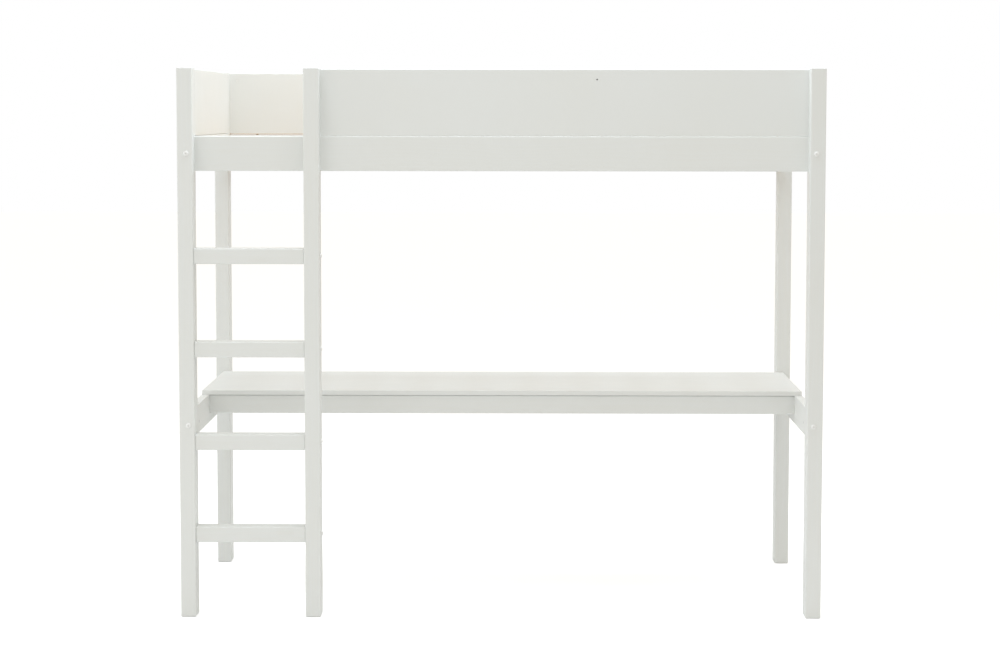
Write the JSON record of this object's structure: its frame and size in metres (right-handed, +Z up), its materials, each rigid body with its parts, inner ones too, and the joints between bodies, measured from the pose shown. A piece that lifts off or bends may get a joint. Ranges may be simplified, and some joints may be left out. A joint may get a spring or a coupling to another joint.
{
  "type": "loft bed with desk",
  "caption": "White wooden high sleeper for a 900 x 2000 mm mattress with a ladder at the left end and a full-length desk underneath.",
  "frame": {"origin": "middle of the footprint, on the floor", "axes": "+X along the bed away from the ladder, +Y from the front towards the wall side, +Z up"},
  "size_m": [2.1108, 1.0368, 1.798],
  "materials": {
    "white_pine": "satin white lacquer over planed pine",
    "white_board": "satin white lacquer over smooth board",
    "natural_pine": "planed, untreated",
    "beech": "fluted dowel wood",
    "white_bolt_heads": "white lacquered steel",
    "zinc_steel": "zinc plated"
  },
  "bodies": {
    "root": {"apron_dowels": "beech", "board_dowels": "beech", "desk_bracket_screws": "zinc_steel", "desk_brackets": "zinc_steel", "desk_rail_barrel_nuts": "zinc_steel", "desk_rail_bolts": "white_bolt_heads", "desk_top": "white_board", "end_dowels": "beech", "end_rail_barrel_nuts": "zinc_steel", "end_rail_bolts": "white_bolt_heads", "front_desk_apron": "white_pine", "front_guard_board": "white_board", "front_left_post": "white_pine", "front_right_post": "white_pine", "front_side_rail": "white_pine", "front_slat_ledger": "natural_pine", "guard_barrel_nuts": "white_bolt_heads", "guard_bolts": "white_bolt_heads", "ladder_post": "white_pine", "ladder_post_screws": "zinc_steel", "ladder_tread_1": "white_pine", "ladder_tread_2": "white_pine", "ladder_tread_3": "white_pine", "ladder_tread_4": "white_pine", "ledger_screws": "zinc_steel", "left_desk_rail": "white_pine", "left_end_guard": "white_board", "left_end_rail": "white_pine", "rear_desk_apron": "white_pine", "rear_guard_board": "white_board", "rear_left_post": "white_pine", "rear_right_post": "white_pine", "rear_side_rail": "white_pine", "rear_slat_ledger": "natural_pine", "right_desk_rail": "white_pine", "right_end_guard": "white_board", "right_end_rail": "white_pine", "seam_dowels": "beech", "side_rail_barrel_nuts": "zinc_steel", "side_rail_bolts": "white_bolt_heads", "slat_01": "natural_pine", "slat_02": "natural_pine", "slat_03": "natural_pine", "slat_04": "natural_pine", "slat_05": "natural_pine", "slat_06": "natural_pine", "slat_07": "natural_pine", "slat_08": "natural_pine", "slat_09": "natural_pine", "slat_10": "natural_pine", "slat_11": "natural_pine", "slat_12": "natural_pine", "slat_13": "natural_pine", "slat_14": "natural_pine", "slat_screws": "zinc_steel", "tread_barrel_nuts": "zinc_steel", "tread_bolts": "white_bolt_heads", "tread_dowels": "beech"}
  },
  "joints": []
}
